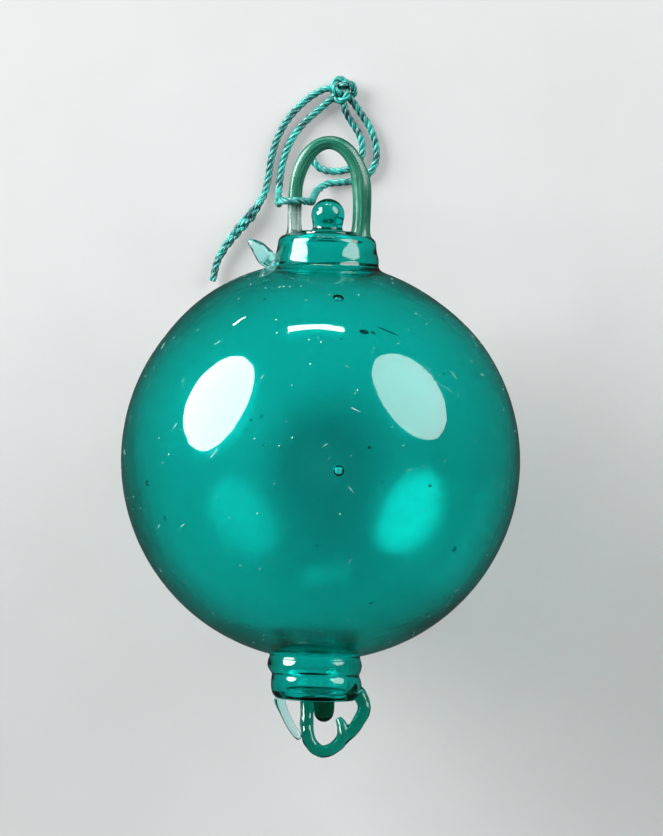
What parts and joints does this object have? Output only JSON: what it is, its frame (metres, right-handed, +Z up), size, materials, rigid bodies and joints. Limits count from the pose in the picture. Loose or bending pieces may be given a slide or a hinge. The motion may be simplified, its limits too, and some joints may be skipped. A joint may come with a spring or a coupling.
{
  "type": "glass float ball",
  "caption": "Sealed hand-blown glass float ball with a collar, a sealing button and an eye at each end, tied with a short twisted cord.",
  "frame": {"origin": "centre of the small flat spot on which the ball rests", "axes": "+Z up; +Y along the float's axis, towards the upper eye; +X completes the frame"},
  "size_m": [0.1248, 0.2178, 0.1236],
  "materials": {
    "teal_glass": "clear teal blown glass with seed bubbles; the upper eye is a greener, milky, streaked cane",
    "teal_cord": "laid synthetic twine in three strands, bright teal with dark blue-green shadows"
  },
  "bodies": {
    "root": {"glass_float": "teal_glass", "cord_loop": "teal_cord", "cord_knot": "teal_cord", "cord_long_end": "teal_cord", "cord_end_wrap": "teal_cord", "cord_short_end": "teal_cord"}
  },
  "joints": []
}
